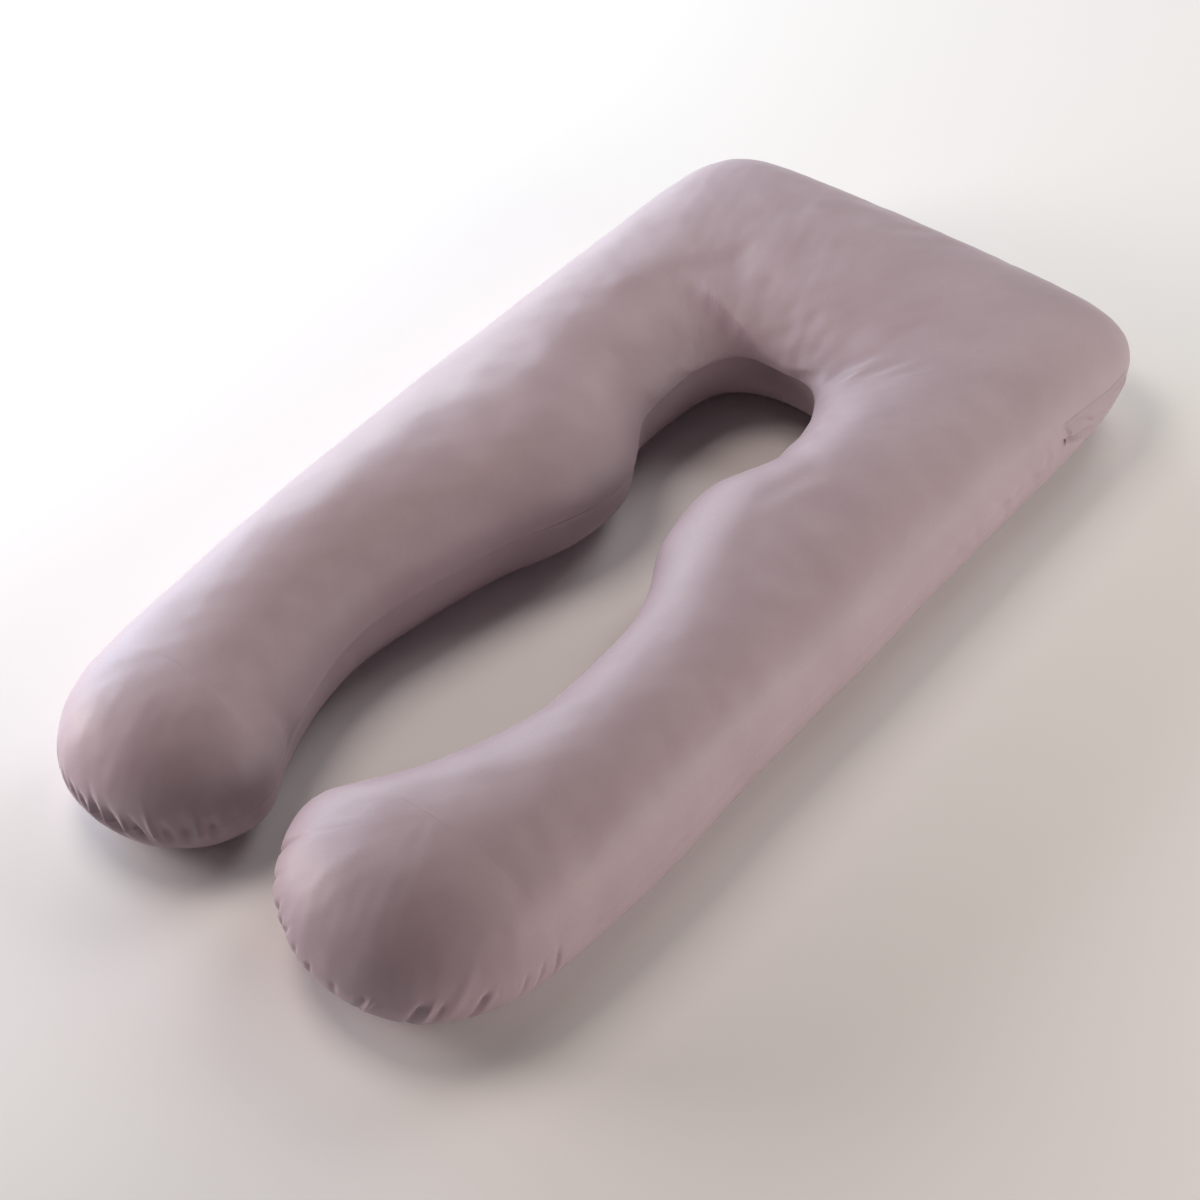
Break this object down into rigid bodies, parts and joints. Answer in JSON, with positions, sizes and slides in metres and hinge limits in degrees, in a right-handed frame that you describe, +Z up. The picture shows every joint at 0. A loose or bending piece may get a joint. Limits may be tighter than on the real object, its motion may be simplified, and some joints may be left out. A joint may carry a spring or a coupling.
{
  "type": "body pillow",
  "caption": "U-shaped full-length body pillow with a squared head end, a keyhole gap between its limbs, a gathered side seam and a covered zip; it lies flat on a bed or floor.",
  "frame": {"origin": "middle of the bounding box, on the surface that the pillow lies on", "axes": "+X across the two limbs, +Y from the feet to the squared head end, +Z up through the pillow's thickness"},
  "size_m": [0.7386, 1.4038, 0.195],
  "materials": {
    "cover": "plain mauve satin-weave cover with a soft sheen",
    "placket": "strip of the cover's mauve satin weave, folded and stitched twice"
  },
  "bodies": {
    "root": {"pillow": "cover", "zip_placket": "placket"}
  },
  "joints": []
}
